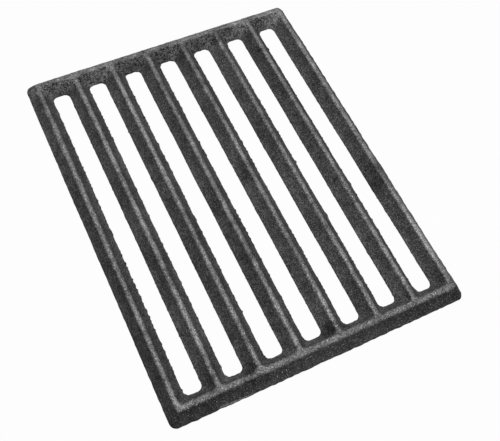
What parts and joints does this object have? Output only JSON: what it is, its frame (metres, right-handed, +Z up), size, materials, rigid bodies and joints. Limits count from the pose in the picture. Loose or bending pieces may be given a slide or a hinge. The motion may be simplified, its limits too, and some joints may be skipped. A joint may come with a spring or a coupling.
{
  "type": "cast iron grate",
  "caption": "Flat rectangular cast iron grate: parallel tapered bars with rounded crests inside a frame, with long slots that let air through and ash fall.",
  "frame": {"origin": "centre of the flat underside, the wide face that the grate lies on", "axes": "+Z up from the flat underside to the crests, +Y along the slots, +X across the slots"},
  "size_m": [0.2, 0.26, 0.01],
  "materials": {
    "iron": "as cast: dark grey sand-cast skin with a grainy surface, a little brighter on the crests"
  },
  "bodies": {
    "root": {"grate": "iron"}
  },
  "joints": []
}
